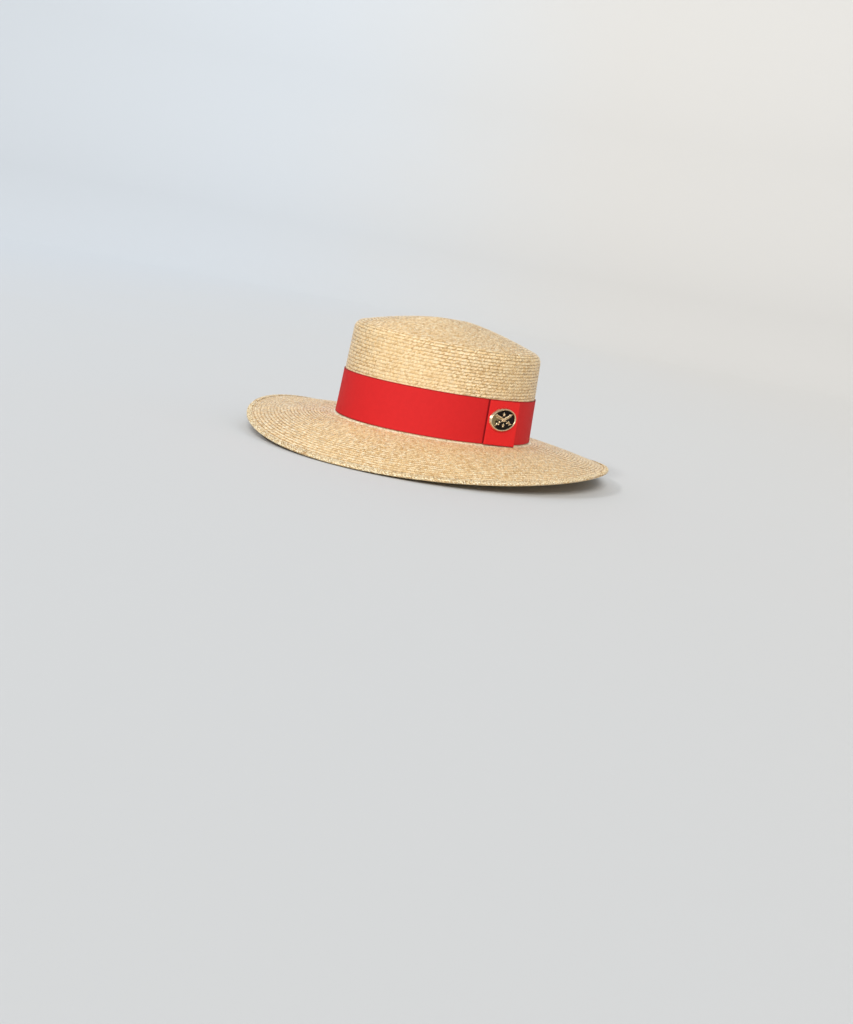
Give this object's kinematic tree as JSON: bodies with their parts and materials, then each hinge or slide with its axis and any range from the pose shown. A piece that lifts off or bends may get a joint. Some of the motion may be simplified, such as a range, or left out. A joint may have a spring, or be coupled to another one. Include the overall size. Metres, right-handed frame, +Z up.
{
  "type": "straw boater hat",
  "caption": "Straw boater with a flat-sided oval crown, a wide gently dipped brim, a red ribbon band, an upright ribbon loop and an oval metal badge.",
  "frame": {"origin": "under the middle of the head opening, on the surface that the brim's lowest points rest on", "axes": "+Z up through the crown, -Y the front of the hat, +X the wearer's left, where the loop and badge are"},
  "size_m": [0.3244, 0.3594, 0.126],
  "materials": {
    "straw": "natural wheat straw, plaited and sewn in close rows, satin",
    "edge_straw": "natural wheat straw braid, coarser and brighter, satin",
    "ribbon": "plain red ribbon with fine ribs, matte",
    "badge_gold": "polished pale gold plate"
  },
  "bodies": {
    "root": {"straw_crown": "straw", "straw_brim": "straw", "brim_edge_braid": "edge_straw", "ribbon_band": "ribbon", "ribbon_loop": "ribbon", "metal_badge": "badge_gold"}
  },
  "joints": []
}
